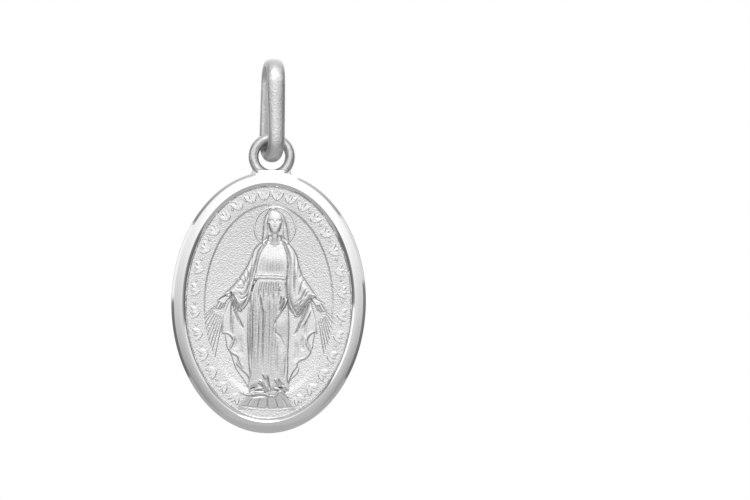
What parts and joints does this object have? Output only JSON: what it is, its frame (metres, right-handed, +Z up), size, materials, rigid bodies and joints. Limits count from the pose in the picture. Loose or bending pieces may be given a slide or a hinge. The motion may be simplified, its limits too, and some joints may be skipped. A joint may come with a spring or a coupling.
{
  "type": "oval religious medal pendant with bail",
  "caption": "Oval devotional medal in white metal: polished bevelled rim, standing veiled figure in relief, relief back, eyelet and loop bail.",
  "frame": {"origin": "inside the top of the bail, where the chain rests", "axes": "+Z up along the hanging medal, -Y out of the front face with the figure, +X to the viewer's right seen from the front"},
  "size_m": [0.0132, 0.0032, 0.0253],
  "materials": {
    "satin_metal": "fine satin, lightly brighter on the raised relief",
    "bright_metal": "polished, slightly worn"
  },
  "bodies": {
    "bail": {"bail": "bright_metal"},
    "medal": {"medal": "satin_metal"}
  },
  "joints": [
    {"name": "medal_swing", "type": "hinge", "parent": "bail", "child": "medal", "pos_m": [0, 0, -0.006], "axis": [0, 1, 0], "range_deg": [-90, 90]}
  ]
}
